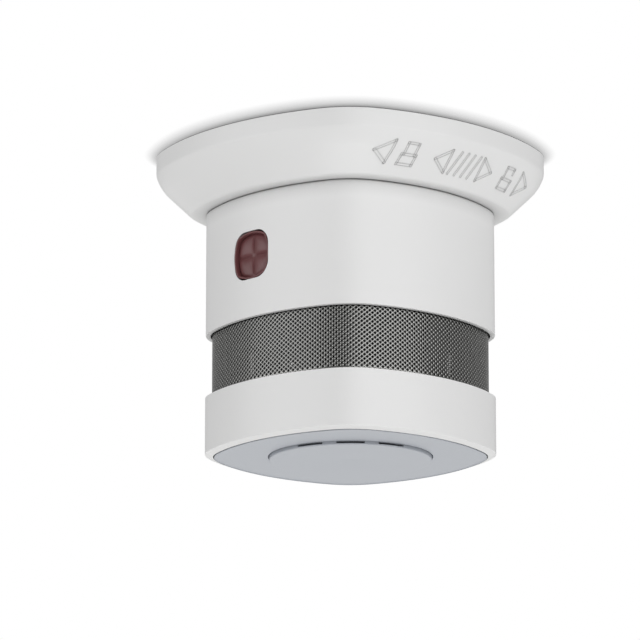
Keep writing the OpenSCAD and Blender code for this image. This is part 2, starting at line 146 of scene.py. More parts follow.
# White ceiling that only the camera sees, and only from below. Its glow carries a painted shadow beside
# the rim, reaching further out and darker in front, where the ceiling is seen at a low angle.
CEILING_SIZE = 30
CEILING_GAP = 0.04 * MM
SIDE_REACH = 2.0 * MM
FRONT_REACH = 4.8 * MM          # added to the reach straight in front, taken off it behind
SIDE_DEPTH = 0.9
FRONT_DEPTH = 1.1               # likewise for the depth of the shade
ceiling = stage_plane("ceiling", CEILING_SIZE, CEILING_GAP, -1)
paint = bpy.data.materials.new("white_ceiling_painted_shadow")
paint.use_nodes = True
coat = paint.node_tree
coat.nodes.clear()
side = add(coat, "ShaderNodeNewGeometry")
outward = add(coat, "ShaderNodeVectorMath", {0: side.outputs["Position"]}, operation="NORMALIZE")
fronting = add(coat, "ShaderNodeVectorMath", {0: outward.outputs[0], 1: to_front},
               operation="DOT_PRODUCT")
reach_out = add(coat, "ShaderNodeMath", {0: fronting.outputs["Value"], 1: FRONT_REACH, 2: SIDE_REACH},
                operation="MULTIPLY_ADD")
# Painted contact shadow: ambient occlusion near the base dims the ceiling's glow.
near = add(coat, "ShaderNodeAmbientOcclusion", {"Distance": reach_out.outputs[0]}, samples=16)
depth = add(coat, "ShaderNodeMath", {0: fronting.outputs["Value"], 1: FRONT_DEPTH, 2: SIDE_DEPTH},
            operation="MULTIPLY_ADD")
shade = add(coat, "ShaderNodeMath", {0: near.outputs["AO"], 1: depth.outputs[0]}, operation="POWER")
glow = add(coat, "ShaderNodeEmission", {"Color": hex_colour("#FFFFFF"), "Strength": shade.outputs[0]})
clear = add(coat, "ShaderNodeBsdfTransparent")
seen = add(coat, "ShaderNodeMixShader",
           {0: side.outputs["Backfacing"], 1: glow.outputs[0], 2: clear.outputs[0]})
add(coat, "ShaderNodeOutputMaterial", {"Surface": seen.outputs[0]})
ceiling.data.materials.append(paint)
for ray in ("visible_diffuse", "visible_glossy", "visible_transmission", "visible_shadow"):
    setattr(ceiling, ray, False)

# Pale studio floor, far below.
FLOOR_SIZE = 4
FLOOR_Z = -1.2
floor = stage_plane("floor", FLOOR_SIZE, FLOOR_Z, 1)
vinyl = bpy.data.materials.new("pale_studio_vinyl")
vinyl.use_nodes = True
vinyl.node_tree.nodes["Principled BSDF"].inputs["Base Color"].default_value = hex_colour("#E4E4E2")
vinyl.node_tree.nodes["Principled BSDF"].inputs["Roughness"].default_value = 0.8
floor.data.materials.append(vinyl)


# ---- Mounting base -----------------------------------------------------------------------
# One white ABS injection moulding: a back plate with two screw slots, an upright rim, a cone
# and a ledge whose round opening takes the head's bayonet lugs. Its edges are softly rounded.

FLAT_RATIO = 0.913      # centre to side over centre to corner, for every outline
CORNER_RATIO = 0.417    # corner radius over centre to corner
OUTLINE_STEPS = 256


def outline_arcs(flat=FLAT_RATIO):
    """Reach of the corner arc's centre, shift and radius of the side arc, and where they meet."""
    reach = 1 - CORNER_RATIO
    inner = flat - CORNER_RATIO
    shift = (reach ** 2 - inner ** 2) / (2 * inner - math.sqrt(2) * reach)
    turn = math.atan2(reach / math.sqrt(2), reach / math.sqrt(2) + shift)
    return reach, shift, flat + shift, turn


def outline_radius(angle, flat=FLAT_RATIO):
    """Distance from the axis to the outline whose corner distance is 1."""
    reach, shift, side_radius, turn = outline_arcs(flat)
    meet = math.atan2(side_radius * math.sin(turn), side_radius * math.cos(turn) - shift)
    off_side = abs((angle + math.pi / 4) % (math.pi / 2) - math.pi / 4)
    if off_side < meet:
        side_line = math.sqrt(side_radius ** 2 - (shift * math.sin(off_side)) ** 2)
        return side_line - shift * math.cos(off_side)
    off_corner = math.pi / 4 - off_side
    corner_line = math.sqrt(CORNER_RATIO ** 2 - (reach * math.sin(off_corner)) ** 2)
    return reach * math.cos(off_corner) + corner_line


def corner_of(node):
    """Centre-to-corner distance of a CAD node's outline, in millimetres."""
    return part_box(node)[1].x / MM / FLAT_RATIO


def ring(bm, radius, z, steps=OUTLINE_STEPS, shape=None):
    """Closed ring of edges at one height, round or on another outline."""
    verts = bmesh.ops.create_circle(bm, segments=steps, radius=radius)["verts"]
    for v in verts:
        if shape:
            v.co *= shape(math.atan2(v.co.y, v.co.x))
        v.co.z = z
    return edges_among(verts)


def edges_among(verts):
    """Edges whose both ends are among the vertices, in a fixed order."""
    chosen = set(verts)
    edges = {e for v in chosen for e in v.link_edges if set(e.verts) <= chosen}
    return sorted(edges, key=lambda e: e.index)


def verts_of(edges):
    return list({v for e in edges for v in e.verts})


def draw(bm, edges, size, steps):
    """Extrudes a ring along a profile of (size, height) steps and returns every ring it passes."""
    rings = []
    for new_size, z in steps:
        grown = bmesh.ops.extrude_edge_only(bm, edges=edges)["geom"]
        verts = [g for g in grown if isinstance(g, bmesh.types.BMVert)]
        bmesh.ops.scale(bm, vec=(new_size / size, new_size / size, 1), verts=verts)
        for v in verts:
            v.co.z = z
        edges, size = edges_among(verts), new_size
        rings.append(edges)
    return rings


def bridge(bm, ring_a, ring_b):
    """Band of faces between two rings."""
    bmesh.ops.bridge_loops(bm, edges=ring_a + ring_b)


def fill(bm, *rings):
    """Flat face within the first ring, with the others as holes in it."""
    bmesh.ops.triangle_fill(bm, use_beauty=True, use_dissolve=False, edges=[e for r in rings for e in r])


def round_off(bm, edges, size, segments=3):
    """Rounds edges by a size in millimetres."""
    bmesh.ops.bevel(bm, geom=edges, affect="EDGES", offset=size, offset_type="OFFSET", segments=segments,
                    profile=0.5, material=-1, clamp_overlap=True)


def finish_piece(name, bm, material, body, replaces=(), soft_angle=35):
    """Closes the mesh, turns it to metres, shades it and hands it to its body."""
    bmesh.ops.remove_doubles(bm, verts=bm.verts, dist=1e-4)
    bmesh.ops.recalc_face_normals(bm, faces=bm.faces)
    bmesh.ops.scale(bm, vec=(MM, MM, MM), verts=bm.verts)
    mesh = bpy.data.meshes.new(name)
    bm.to_mesh(mesh)
    bm.free()
    mesh.shade_smooth()
    mesh.set_sharp_from_angle(angle=math.radians(soft_angle))
    piece = bpy.data.objects.new(name, mesh)
    bpy.context.scene.collection.objects.link(piece)
    piece.data.materials.append(material)
    even = piece.modifiers.new("even_normals", "WEIGHTED_NORMAL")
    even.keep_sharp = True
    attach(piece, body)
    if replaces:
        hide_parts(*replaces)
    return piece


PAINTED_SHADE_REACH = 3.0 * MM   # distance from a corner that its painted shade reaches
DRIFT = 18 * MM         # size of the patches of slightly different shade
DRIFT_SHADE = 0.975
GRAIN_STRENGTH = 0.35


def moulded(name, colour, roughness, grain_mm, grain_depth_mm, painted_shade=0.0, **sockets):
    """Injection-moulded plastic: a fine grain, a faint random drift of tone, and painted shade darkening
    its corners.
    """
    material = bpy.data.materials.new(name)
    material.use_nodes = True
    tree = material.node_tree
    shader = tree.nodes["Principled BSDF"]
    place = add(tree, "ShaderNodeTexCoord").outputs["Object"]
    base = hex_colour(colour)
    drift = add(tree, "ShaderNodeTexNoise", {"Vector": place, "Scale": 1 / DRIFT, "Detail": 2.0})
    tone = add(tree, "ShaderNodeMixRGB", {"Fac": drift.outputs[0], "Color1": base,
               "Color2": [c * DRIFT_SHADE for c in base[:3]] + [1]})
    # Painted shade: the base colour darkens where ambient occlusion finds other surfaces close by, in
    # corners, creases, joints and around the raised marks.
    if painted_shade:
        corner = add(tree, "ShaderNodeAmbientOcclusion", {"Distance": PAINTED_SHADE_REACH}, samples=8)
        tone = add(tree, "ShaderNodeMixRGB", {"Fac": corner.outputs["AO"], "Color2": tone.outputs[0],
                   "Color1": [c * (1 - painted_shade) for c in base[:3]] + [1]})
    tree.links.new(tone.outputs[0], shader.inputs["Base Color"])
    grain = add(tree, "ShaderNodeTexNoise",
                {"Vector": place, "Scale": 1 / (grain_mm * MM), "Detail": 3.0})
    relief = add(tree, "ShaderNodeBump", {"Height": grain.outputs[0], "Strength": GRAIN_STRENGTH,
                 "Distance": grain_depth_mm * MM})
    tree.links.new(relief.outputs[0], shader.inputs["Normal"])
    shader.inputs["Roughness"].default_value = roughness
    for socket, value in sockets.items():
        shader.inputs[socket.replace("_", " ")].default_value = value
    return material


# White ABS: a matte, neutral body with a fine moulded grain, and painted shade that darkens its corners.
white_abs = moulded("moulded_white_abs", "#E9E9E9", 0.42, 0.35, 0.02, painted_shade=0.5, IOR=1.52)

RIM_H = 3.0
RIM_WALL = 1.8
KNEE_CORNER = 32.2
KNEE_RATIO = 0.885
KNEE_Z = -4.9
LEDGE_CORNER = 27.0
LEDGE_WALL = 0.8
BASE_WALL = 1.6
OPENING_R = 20.9
NOTCH_R = 22.6
NOTCH_HALF = math.radians(10.2)
SLOT_W = 4.2
SLOT_LENGTH = 8.0
SLOT_SPACING = 30.0

rim_corner = corner_of("mounting_base")
ledge_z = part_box("mounting_base")[0].z / MM


def opening_shape(angle):
    """Round opening with a notch on each corner, as a factor on its radius."""
    off_corner = abs(angle % (math.pi / 2) - math.pi / 4)
    return NOTCH_R / OPENING_R if off_corner < NOTCH_HALF else 1.0


def slot_ring(bm, x, z):
    """Round-ended screw slot at x, as a circle pulled apart at its middle."""
    verts = bmesh.ops.create_circle(bm, segments=32, radius=SLOT_W / 2)["verts"]
    bmesh.ops.rotate(bm, cent=(0, 0, 0), matrix=Matrix.Rotation(math.pi / 32, 3, "Z"), verts=verts)
    for v in verts:
        v.co.x += math.copysign((SLOT_LENGTH - SLOT_W) / 2, v.co.x) + x
        v.co.z = z
    return edges_among(verts)


bm = bmesh.new()
top_ring = ring(bm, rim_corner, 0, shape=outline_radius)
rim_ring, knee_ring, cone_ring = draw(bm, top_ring, rim_corner, [
    (rim_corner, -RIM_H), (KNEE_CORNER, KNEE_Z), (LEDGE_CORNER, ledge_z)])
for v in verts_of(knee_ring):
    angle = math.atan2(v.co.y, v.co.x)
    fuller = outline_radius(angle, KNEE_RATIO) / outline_radius(angle)
    v.co = Vector((v.co.x * fuller, v.co.y * fuller, KNEE_Z))
opening_low = ring(bm, OPENING_R, ledge_z, shape=opening_shape)
bridge(bm, cone_ring, opening_low)
opening_high, = draw(bm, opening_low, 1, [(1, ledge_z + BASE_WALL)])
inside_low = ring(bm, LEDGE_CORNER - LEDGE_WALL, ledge_z + BASE_WALL, shape=outline_radius)
bridge(bm, opening_high, inside_low)
inside_top = draw(bm, inside_low, LEDGE_CORNER - LEDGE_WALL,
                  [(rim_corner - RIM_WALL, -RIM_H), (rim_corner - RIM_WALL, -BASE_WALL)])[-1]
slot_tops = [slot_ring(bm, x, 0) for x in (-SLOT_SPACING / 2, SLOT_SPACING / 2)]
slot_ends = [draw(bm, slot, 1, [(1, -BASE_WALL)])[0] for slot in slot_tops]
fill(bm, top_ring, *slot_tops)
fill(bm, inside_top, *slot_ends)
round_off(bm, top_ring, 0.1, 2)
round_off(bm, knee_ring, 1.6, 5)
round_off(bm, rim_ring, 0.25, 3)
round_off(bm, cone_ring, 0.4)
base_skin = BVHTree.FromBMesh(bm)
finish_piece("mounting_base", bm, white_abs, "mount", ["mounting_base"], 50)


# ---- Raised marks on the base ------------------------------------------------------------
# Part of the same moulding, raised on the +X side of the base: an arrow and a shut padlock, a
# turning sign of two arrows and ribs, and an open padlock and an arrow.

MARK_Z = (ledge_z - RIM_H) / 2
MARK_RAISE = 0.6
MARK_SINK = 0.1         # depth that each bar's foot reaches into the base
MARK_W = 0.34
MARK_STEPS = 6
MARK_OUTSIDE = 50       # where the search for the skin starts, on the +X side


def mark_stroke(bm, start, end):
    """Raised bar between two points of the side seen from +X, laid on the base's skin."""
    start, end = Vector(start), Vector(end)
    run = end - start
    verts = bmesh.ops.create_grid(bm, x_segments=MARK_STEPS, y_segments=2, size=0.5)["verts"]
    bmesh.ops.scale(bm, vec=(run.length + MARK_W, MARK_W, 1), verts=verts)
    slant = Matrix.Rotation(math.atan2(run.y, run.x), 3, "Z")
    bmesh.ops.rotate(bm, cent=(0, 0, 0), matrix=slant, verts=verts)
    bmesh.ops.translate(bm, vec=((start + end) / 2).to_3d(), verts=verts)
    faces = list({f for v in verts for f in v.link_faces})
    rim = [e for e in {e for f in faces for e in f.edges} if e.is_boundary]
    walls = bmesh.ops.extrude_edge_only(bm, edges=rim)["geom"]
    feet = {g for g in walls if isinstance(g, bmesh.types.BMVert)}
    for v in list(verts) + list(feet):
        outside = Vector((MARK_OUTSIDE, v.co.x, v.co.y + MARK_Z))
        spot, normal = base_skin.ray_cast(outside, Vector((-1, 0, 0)))[:2]
        v.co = spot + normal * (-MARK_SINK if v in feet else MARK_RAISE)
    round_off(bm, rim, 0.1, 2)


def mark_lines(bm, lines, aside):
    """Raised bars of one sign, its middle this far to the right of the side's middle."""
    for start, end in lines:
        mark_stroke(bm, (start[0] + aside, start[1]), (end[0] + aside, end[1]))


def arrow(way):
    """Outline of a triangle that points right (1) or left (-1)."""
    tip, top, foot = (1.7 * way, 0), (-1.1 * way, 1.6), (-1.1 * way, -1.6)
    return [(tip, top), (tip, foot), (top, foot)]


def padlock(is_open):
    """Box with a bow above it, whose right leg stops short when it is open."""
    corners = [(-1.35, -0.15), (-1.35, -1.55), (1.35, -1.55), (1.35, -0.15)]
    body = [(corners[i], corners[(i + 1) % 4]) for i in range(4)]
    leg_end = 0.8 if is_open else -0.1
    return body + [((-1, -0.1), (-1, 1.5)), ((-1, 1.5), (1, 1.5)), ((1, 1.5), (1, leg_end))]


bm = bmesh.new()
mark_lines(bm, arrow(-1), -16.7)
mark_lines(bm, padlock(False), -12.2)
mark_lines(bm, arrow(-1), -5.4)
for rib in range(4):
    mark_lines(bm, [((-0.5, -1.6), (0.5, 1.6))], -2.8 + 1.5 * rib)
mark_lines(bm, arrow(1), 4.3)
mark_lines(bm, padlock(True), 10.6)
mark_lines(bm, arrow(1), 15.3)
finish_piece("base_marks", bm, white_abs, "mount")


# ---- Upper housing -----------------------------------------------------------------------
# White ABS shell of the head, moulded with the round boss and four bayonet lugs that enter the
# base, a deck with the battery opening, and the opening for the window in its -Y side.

SHELL_WALL = 1.6
FOOT_LIP = 0.8
MESH_SEAT = 1.0
BOSS_R = 20.6
BOSS_WALL = 1.2
LUG_R = 22.2
LUG_SINK = 0.3
LUG_HALF = math.radians(9)
TWIST = math.radians(24)
LUG_FOOT = 1.7          # heights of a lug's lower and upper face over the ledge
LUG_TOP = 3.2
LUG_STEPS = 12
BATTERY_HALF_W = 8.9
WINDOW_W = 8.2
WINDOW_ROUND = 2.7
DECK_GAP = 0.3          # height of the base's ledge over the deck, and over the closer shoulder
SHOULDER_GAP = 0.05
CUT_START = 18.5        # reach of the window's cut, from the axis outwards
CUT_DEPTH = 6

housing_low, housing_high = [corner.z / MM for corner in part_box("upper_housing")]
body_corner = corner_of("upper_housing")
deck_z = ledge_z - DECK_GAP
deck_under = deck_z - SHELL_WALL
shoulder_z = ledge_z - SHOULDER_GAP
window_z = (ledge_z + housing_low) / 2
window_x = sum(corner.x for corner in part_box("window_lens")) / 2 / MM


def rounded_square(half, round_share):
    """Factor on a circle of radius 1 that gives a square with round corners, of this half width."""
    def shape(angle):
        off_side = abs((angle + math.pi / 4) % (math.pi / 2) - math.pi / 4)
        centre = 1 - round_share
        if math.tan(off_side) <= centre:
            return half / math.cos(off_side)
        off_corner = math.pi / 4 - off_side
        far = centre * math.sqrt(2)
        return half * (far * math.cos(off_corner)
                       + math.sqrt(round_share ** 2 - (far * math.sin(off_corner)) ** 2))
    return shape


def cut(piece, cutter):
    """Mesh of a piece with a closed cutter taken out of it."""
    mesh = bpy.data.meshes.new("cutter")
    cutter.to_mesh(mesh)
    cutter.free()
    tool = bpy.data.objects.new("cutter", mesh)
    bpy.context.scene.collection.objects.link(tool)
    taken = piece.modifiers.new("cut", "BOOLEAN")
    taken.object = tool
    taken.operation = "DIFFERENCE"
    taken.solver = "EXACT"
    bpy.context.view_layer.update()
    made = bpy.data.meshes.new_from_object(piece.evaluated_get(bpy.context.evaluated_depsgraph_get()))
    piece.modifiers.remove(taken)
    bpy.data.objects.remove(tool)
    return made


bm = bmesh.new()
inner_foot = ring(bm, body_corner - SHELL_WALL, housing_low + MESH_SEAT, shape=outline_radius)
outer_foot, outer_top = draw(bm, inner_foot, body_corner - SHELL_WALL, [
    (body_corner - FOOT_LIP, housing_low + MESH_SEAT), (body_corner - FOOT_LIP, housing_low),
    (body_corner, housing_low), (body_corner, shoulder_z)])[-2:]
boss_foot = ring(bm, BOSS_R, shoulder_z)
bridge(bm, outer_top, boss_foot)
boss_floor = draw(bm, boss_foot, BOSS_R, [
    (BOSS_R, housing_high), (BOSS_R - BOSS_WALL, housing_high), (BOSS_R - BOSS_WALL, deck_z)])[-1]
opening_top = ring(bm, BOSS_R - BOSS_WALL - 0.2, deck_z)
for v in verts_of(opening_top):
    v.co.y = max(-BATTERY_HALF_W, min(BATTERY_HALF_W, v.co.y))
fill(bm, boss_floor, opening_top)
opening_foot, = draw(bm, opening_top, 1, [(1, deck_under)])
ceiling_edge, = draw(bm, inner_foot, 1, [(1, deck_under)])
fill(bm, ceiling_edge, opening_foot)
round_off(bm, outer_foot, 0.15, 2)
round_off(bm, outer_top, 0.3, 3)
shell = bm

window_cut = bmesh.new()
hole = ring(window_cut, 1, 0, 96, rounded_square(WINDOW_W / 2, WINDOW_ROUND / (WINDOW_W / 2)))
hole_end, = draw(window_cut, hole, 1, [(1, CUT_DEPTH)])
fill(window_cut, hole)
fill(window_cut, hole_end)
bmesh.ops.recalc_face_normals(window_cut, faces=window_cut.faces)
upright = Matrix.Rotation(math.radians(90), 3, "X")
bmesh.ops.rotate(window_cut, cent=(0, 0, 0), matrix=upright, verts=window_cut.verts)
bmesh.ops.translate(window_cut, vec=(window_x, -CUT_START, window_z), verts=window_cut.verts)

rough = bpy.data.meshes.new("rough_shell")
bmesh.ops.remove_doubles(shell, verts=shell.verts, dist=1e-4)
bmesh.ops.recalc_face_normals(shell, faces=shell.faces)
shell.to_mesh(rough)
shell.free()
blank = bpy.data.objects.new("rough_shell", rough)
bpy.context.scene.collection.objects.link(blank)
cut_mesh = cut(blank, window_cut)
bpy.data.objects.remove(blank)
bm = bmesh.new()
bm.from_mesh(cut_mesh)
for quarter in range(4):
    middle = math.radians(45) - TWIST + quarter * math.pi / 2
    lug = bmesh.ops.create_circle(bm, segments=2 * LUG_STEPS, radius=1)["verts"]
    for arc, radius in ((lug[:LUG_STEPS], BOSS_R - LUG_SINK), (lug[:LUG_STEPS - 1:-1], LUG_R)):
        for i, v in enumerate(arc):
            angle = middle - LUG_HALF + 2 * LUG_HALF * i / (LUG_STEPS - 1)
            v.co = Vector((math.cos(angle), math.sin(angle), 0)) * radius
            v.co.z = ledge_z + LUG_FOOT
    foot = edges_among(lug)
    lid, = draw(bm, foot, 1, [(1, ledge_z + LUG_TOP)])
    fill(bm, foot)
    fill(bm, lid)
finish_piece("upper_housing", bm, white_abs, "head", ["upper_housing"])


# ---- Window ------------------------------------------------------------------------------
# Dark red tinted polycarbonate cup, pressed into the housing from inside. Its floor is moulded
# with four shallow lobes and a cross of valleys that spread the lamp's light.

LENS_PLAY = 0.05
LENS_DEPTH = 2.2
LENS_FLOOR = 0.95
LENS_LIP = 0.15
LENS_LIP_W = 0.38
LOBE_H = 0.35
LENS_GRID = 24

# Tinted polycarbonate: a satin, near-opaque dark red that drifts towards brown.
red_tint = bpy.data.materials.new("tinted_polycarbonate")
red_tint.use_nodes = True
tint_tree = red_tint.node_tree
tint = tint_tree.nodes["Principled BSDF"]
tint_place = add(tint_tree, "ShaderNodeTexCoord").outputs["Object"]
tint_flow = add(tint_tree, "ShaderNodeTexNoise",
                {"Vector": tint_place, "Scale": 1 / (3 * MM), "Detail": 2.0})
tint_tone = add(tint_tree, "ShaderNodeMixRGB", {"Fac": tint_flow.outputs[0],
                "Color1": hex_colour("#78484B"), "Color2": hex_colour("#653B3A")})
tint_tree.links.new(tint_tone.outputs[0], tint.inputs["Base Color"])
tint.inputs["Roughness"].default_value = 0.3
tint.inputs["IOR"].default_value = 1.46
tint.inputs["Specular IOR Level"].default_value = 0.3
tint.inputs["Transmission Weight"].default_value = 0.12

lens_half = WINDOW_W / 2 - LENS_PLAY
lens_face = body_corner * FLAT_RATIO
bm = bmesh.new()
bmesh.ops.create_grid(bm, x_segments=LENS_GRID, y_segments=LENS_GRID, size=1)
floor_half = lens_half - LENS_LIP_W
square_corner = WINDOW_ROUND / lens_half
bulge = 2 * (1 - ((1 - square_corner) + square_corner / math.sqrt(2)) ** 2)
for v in bm.verts:
    u, w = v.co.x, v.co.y
    lobe_u, lobe_w = 2 * abs(u) - 1, 2 * abs(w) - 1
    swell = max(0.0, (1 - lobe_u ** 2) * (1 - lobe_w ** 2)) ** 0.5
    v.co = Vector((floor_half * u * math.sqrt(1 - bulge * w * w / 2),
                   floor_half * w * math.sqrt(1 - bulge * u * u / 2), LOBE_H * swell - LENS_FLOOR))
floor_edge = [e for e in bm.edges if e.is_boundary]
wall_top, lip_edge, cup_side = draw(bm, floor_edge, floor_half, [
    (floor_half + 0.04, -LENS_LIP), (lens_half, -LENS_LIP), (lens_half, -LENS_DEPTH)])
fill(bm, cup_side)
round_off(bm, wall_top, 0.1, 2)
round_off(bm, lip_edge, 0.12, 2)
bmesh.ops.rotate(bm, cent=(0, 0, 0), matrix=upright, verts=bm.verts)
bmesh.ops.translate(bm, vec=(window_x, -lens_face, window_z), verts=bm.verts)
finish_piece("window_lens", bm, red_tint, "head", ["window_lens"])


# ---- Insect mesh -------------------------------------------------------------------------
# Band of dark stainless sheet, etched with round holes in staggered rows and wrapped around
# the vent cage. Its top edge sits in the housing's foot, its lower edge on the ring.

MESH_T = 0.2
HOLE_COLUMNS = 150
HOLE_ROWS = 29
MESH_BORDER = 0.28
HOLE_R = 0.2
HOLE_SIDES = 8
HOLE_INSET = 0.08
mesh_low, mesh_high = [corner.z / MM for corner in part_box("insect_mesh")]
mesh_corner = corner_of("insect_mesh")


def outline_at(share, corner):
    """Point at a share of the way round the outline, measured along it."""
    reach, shift, side_radius, turn = outline_arcs()
    side_run, corner_run = 2 * turn * side_radius, (math.pi / 2 - 2 * turn) * CORNER_RATIO
    quarter, rest = divmod(share % 1 * 4, 1)
    rest *= side_run + corner_run
    if rest < side_run:
        angle, radius, centre = rest / side_radius - turn, side_radius, Vector((-shift, 0))
    else:
        angle, radius = turn + (rest - side_run) / CORNER_RATIO, CORNER_RATIO
        centre = Vector((reach / math.sqrt(2), reach / math.sqrt(2)))
    out = Vector((math.cos(angle), math.sin(angle)))
    return Matrix.Rotation(quarter * math.pi / 2, 2) @ (centre + out * radius) * corner


row_h = (mesh_high - mesh_low - 2 * MESH_BORDER) / (HOLE_ROWS + 1)
reach, shift, side_radius, turn = outline_arcs()
around = 4 * (2 * turn * side_radius + (math.pi / 2 - 2 * turn) * CORNER_RATIO) * mesh_corner
pitch = around / HOLE_COLUMNS


def repeat(bm, step, times):
    """Copies everything so far a number of times, each copy one step further."""
    bmesh.ops.spin(bm, geom=bm.verts[:] + bm.edges[:] + bm.faces[:], cent=(0, 0, 0), axis=(0, 0, 1),
                   dvec=step, angle=0, steps=times, use_duplicate=True)


def on_half_step(x):
    """Whether a distance along the band is a whole number of quarter pitches."""
    past = abs(x / (pitch / 2) % 0.5)
    return past < 0.02 or past > 0.48


def grow_border(bm, row_y, edge_y):
    """Extends the outermost row of holes beyond row_y to a straight edge of the sheet."""
    way = math.copysign(1, edge_y - row_y)
    zigzag = [e for e in bm.edges if e.is_boundary
              and all(v.co.y * way > row_y * way and on_half_step(v.co.x) for v in e.verts)]
    grown = bmesh.ops.extrude_edge_only(bm, edges=zigzag)["geom"]
    for g in grown:
        if isinstance(g, bmesh.types.BMVert):
            g.co.y = edge_y


bm = bmesh.new()
cell = bmesh.ops.create_circle(bm, segments=HOLE_SIDES, radius=1, cap_ends=True)["verts"]
for v in cell:
    angle = math.atan2(v.co.y, v.co.x)
    spread = 1 / (abs(math.cos(angle)) + abs(math.sin(angle)))
    v.co = Vector((math.cos(angle) * spread * pitch / 2, math.sin(angle) * spread * row_h, 0))
bmesh.ops.inset_individual(bm, faces=list(bm.faces), thickness=HOLE_INSET)
centre_face = min(bm.faces, key=lambda f: f.calc_center_median().length)
for v in centre_face.verts:
    v.co = v.co.normalized() * HOLE_R
bmesh.ops.delete(bm, geom=[centre_face], context="FACES_ONLY")
repeat(bm, (pitch / 2, row_h, 0), 1)
repeat(bm, (0, 2 * row_h, 0), HOLE_ROWS // 2)
extra = [f for f in bm.faces if f.calc_center_median().y > row_h * (HOLE_ROWS - 0.5)]
bmesh.ops.delete(bm, geom=extra, context="FACES")
bmesh.ops.remove_doubles(bm, verts=bm.verts, dist=1e-3)
repeat(bm, (pitch, 0, 0), HOLE_COLUMNS - 1)
bmesh.ops.remove_doubles(bm, verts=bm.verts, dist=1e-3)
bmesh.ops.translate(bm, vec=(0, mesh_low + MESH_BORDER + row_h, 0), verts=bm.verts)
grow_border(bm, mesh_low + MESH_BORDER + row_h * 1.05, mesh_low)
grow_border(bm, mesh_high - MESH_BORDER - row_h * 1.05, mesh_high)
for v in bm.verts:
    v.co = outline_at(v.co.x / around, mesh_corner).to_3d() + Vector((0, 0, v.co.y))
bmesh.ops.remove_doubles(bm, verts=bm.verts, dist=1e-3)

# Etched stainless steel: a grey metal with a soft brushed sheen that runs along the band.
etched_steel = bpy.data.materials.new("etched_stainless_sheet")
etched_steel.use_nodes = True
steel_tree = etched_steel.node_tree
steel = steel_tree.nodes["Principled BSDF"]
steel_place = add(steel_tree, "ShaderNodeTexCoord").outputs["Object"]
steel_stretch = add(steel_tree, "ShaderNodeMapping", {"Vector": steel_place, "Scale": (1, 1, 14)})
steel_grain = add(steel_tree, "ShaderNodeTexNoise",
                  {"Vector": steel_stretch.outputs[0], "Scale": 1 / (1.2 * MM), "Detail": 3.0})
steel_tone = add(steel_tree, "ShaderNodeMixRGB", {"Fac": steel_grain.outputs[0],
                 "Color1": hex_colour("#878785"), "Color2": hex_colour("#70706F")})
steel_tree.links.new(steel_tone.outputs[0], steel.inputs["Base Color"])
steel.inputs["Metallic"].default_value = 1.0
steel.inputs["Roughness"].default_value = 0.2
insect_mesh = finish_piece("insect_mesh", bm, etched_steel, "head", ["insect_mesh"], 25)
insect_mesh.modifiers.clear()
thick = insect_mesh.modifiers.new("sheet_thickness", "SOLIDIFY")
thick.thickness = MESH_T * MM
thick.offset = -1


# ---- Lower ring --------------------------------------------------------------------------
# White ABS cup below the mesh: a wall with a bevelled lower edge, closed by a deck that carries
# the sounder, and a shelf that the face panel is bonded to.

RING_DECK = 1.4
BEVEL_H = 0.4
PANEL_T = 1.4
SHELF_W = 1.5
SHELF_T = 1.2
ring_low, ring_high = [corner.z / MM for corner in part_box("lower_ring")]
ring_corner = corner_of("lower_ring")
ring_inner = mesh_corner - 0.25

bm = bmesh.new()
ring_top = ring(bm, ring_corner, ring_high, shape=outline_radius)
shelf_z = ring_low + PANEL_T
bevel_top, bevel_foot, *inside = draw(bm, ring_top, ring_corner, [
    (ring_corner, ring_low + BEVEL_H), (ring_inner, ring_low), (ring_inner, shelf_z),
    (ring_inner - SHELF_W, shelf_z), (ring_inner - SHELF_W, shelf_z + SHELF_T),
    (ring_inner, shelf_z + SHELF_T), (ring_inner, ring_high - RING_DECK)])
fill(bm, ring_top)
fill(bm, inside[-1])
round_off(bm, ring_top, 0.3, 3)
round_off(bm, bevel_top, 0.12, 2)
round_off(bm, bevel_foot, 0.1, 2)
finish_piece("lower_ring", bm, white_abs, "head", ["lower_ring"], 15)


# ---- Face panel --------------------------------------------------------------------------
# Pale blue-grey ABS plate, bonded into the ring with a fine shadow gap all round. A collar
# behind its round opening guides the test button.

BUTTON_GAP = 0.15
COLLAR_GAP = 1.6        # space between the button's side and the collar, where the flange moves
COLLAR_W = 1.2
FLANGE_W = 1.2
panel_low, panel_high = [corner.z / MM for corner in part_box("face_panel")]
panel_back_z = panel_low + PANEL_T
panel_corner = corner_of("face_panel")
button_flange_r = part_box("test_button")[1].x / MM
button_r = button_flange_r - FLANGE_W

# Pale grey ABS: cooler and a little smoother than the white shell.
panel_abs = moulded("moulded_pale_grey_abs", "#B4B8BF", 0.38, 0.3, 0.012, IOR=1.52)

bm = bmesh.new()
panel_edge = ring(bm, panel_corner, panel_low, shape=outline_radius)
panel_back, = draw(bm, panel_edge, panel_corner, [(panel_corner, panel_back_z)])
hole_foot = ring(bm, button_r + BUTTON_GAP, panel_low)
collar_in = button_r + COLLAR_GAP
collar_foot = draw(bm, hole_foot, button_r + BUTTON_GAP, [
    (button_r + BUTTON_GAP, panel_back_z), (collar_in, panel_back_z), (collar_in, panel_high),
    (collar_in + COLLAR_W, panel_high), (collar_in + COLLAR_W, panel_back_z)])[-1]
fill(bm, panel_edge, hole_foot)
fill(bm, panel_back, collar_foot)
round_off(bm, panel_edge, 0.12, 2)
round_off(bm, hole_foot, 0.12, 2)
finish_piece("face_panel", bm, panel_abs, "head", ["face_panel"])


# ---- Test button -------------------------------------------------------------------------
# Pale blue-grey ABS cap that stands proud of the panel. Three slots at each of two opposite
# corners let the sound out, and a flange behind the panel keeps it in.

